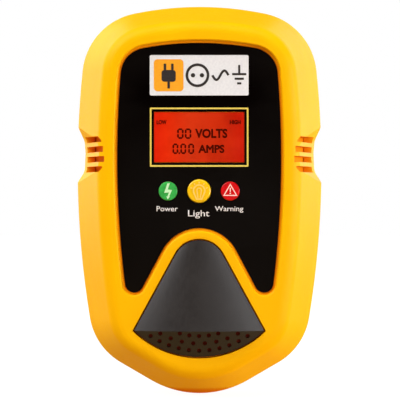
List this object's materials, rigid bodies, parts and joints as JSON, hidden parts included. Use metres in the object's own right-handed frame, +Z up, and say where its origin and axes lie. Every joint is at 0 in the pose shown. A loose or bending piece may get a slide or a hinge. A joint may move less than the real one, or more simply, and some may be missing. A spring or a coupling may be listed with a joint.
{
  "type": "outlet tester plug",
  "caption": "Plug-in mains outlet tester: yellow case with side vents, red display, light button, indicator lenses, sounder hood and a round two-pin earthed plug.",
  "frame": {"origin": "centre of the plug's engagement face, on the axis midway between the two pins", "axes": "+Y into the wall outlet along the pins, +Z up with the display upright, +X to the right seen from the display"},
  "size_m": [0.0812, 0.0831, 0.1286],
  "materials": {
    "case_yellow": "satin moulded yellow",
    "panel_black": "fine satin black",
    "badge_white": "printed white plate",
    "window_red": "clear red pane",
    "lens_green": "clear green",
    "lens_red": "clear red",
    "hood_grey": "fine grain dark grey",
    "mesh_black": "woven dust mesh",
    "insert_black": "black moulded plug body",
    "pin_nickel": "nickel plated brass",
    "earth_brass": "bright brass strip",
    "screw_steel": "zinc plated",
    "board_green": "solder mask green",
    "glass": "display glass",
    "frame_black": "black moulded frame",
    "light_panel_white": "milky light guide",
    "strip_grey": "striped elastomer",
    "led_green": "tinted lamp",
    "led_red": "tinted lamp",
    "plunger_blue": "moulded plunger",
    "dome_steel": "spring steel",
    "core_steel": "stacked laminations",
    "coil_tape": "yellow tape wound coil",
    "can_sleeve": "shrink sleeve",
    "box_grey": "potted box",
    "disc_blue": "dipped coating",
    "tin_caps": "tinned",
    "ferrite_copper": "enamelled winding on ferrite",
    "shunt_alloy": "resistance alloy strip",
    "wire_brown": "brown insulation",
    "wire_blue": "blue insulation",
    "wire_green": "green and yellow insulation",
    "cable_grey": "flat grey cable"
  },
  "bodies": {
    "case": {"backlight_leds": "light_panel_white", "backlight_panel": "light_panel_white", "badge_plate": "badge_white", "bridge_rectifier": "frame_black", "case_screws": "screw_steel", "chip_resistors": "frame_black", "choke": "ferrite_copper", "contact_strips": "strip_grey", "current_shunt": "shunt_alloy", "display_board": "board_green", "display_board_screws": "screw_steel", "display_driver": "frame_black", "display_window": "window_red", "dust_mesh": "mesh_black", "earth_sleeve": "earth_brass", "earth_strap": "earth_brass", "earth_wire": "wire_green", "face_panel": "panel_black", "front_cover": "case_yellow", "fuse_caps": "tin_caps", "fuse_clips": "earth_brass", "fuse_tube": "glass", "insert_screws": "screw_steel", "lcd_frame": "frame_black", "lcd_glass": "glass", "line_pin": "pin_nickel", "line_wire": "wire_brown", "main_board": "board_green", "main_board_screws": "screw_steel", "meter_chip": "frame_black", "neutral_pin": "pin_nickel", "neutral_wire": "wire_blue", "plug_insert": "insert_black", "power_led": "led_green", "power_lens": "lens_green", "rating_label": "badge_white", "rear_cover": "case_yellow", "reservoir_capacitor": "can_sleeve", "ribbon_cable": "cable_grey", "ribbon_sockets": "insert_black", "sounder": "frame_black", "speaker_hood": "hood_grey", "suppression_capacitor": "box_grey", "switch_body": "insert_black", "switch_dome": "dome_steel", "timing_crystal": "tin_caps", "transformer_coil": "coil_tape", "transformer_core": "core_steel", "varistor": "disc_blue", "warning_led": "led_red", "warning_lens": "lens_red"},
    "light_button": {"button_cap": "case_yellow", "switch_plunger": "plunger_blue"}
  },
  "joints": [
    {"name": "light_press", "type": "slide", "parent": "case", "child": "light_button", "axis": [0, 1, 0], "range_m": [0, 0.0008], "stiffness_N_per_m": 1500, "springref_m": -0.0004, "deforming": ["switch_dome"]}
  ]
}
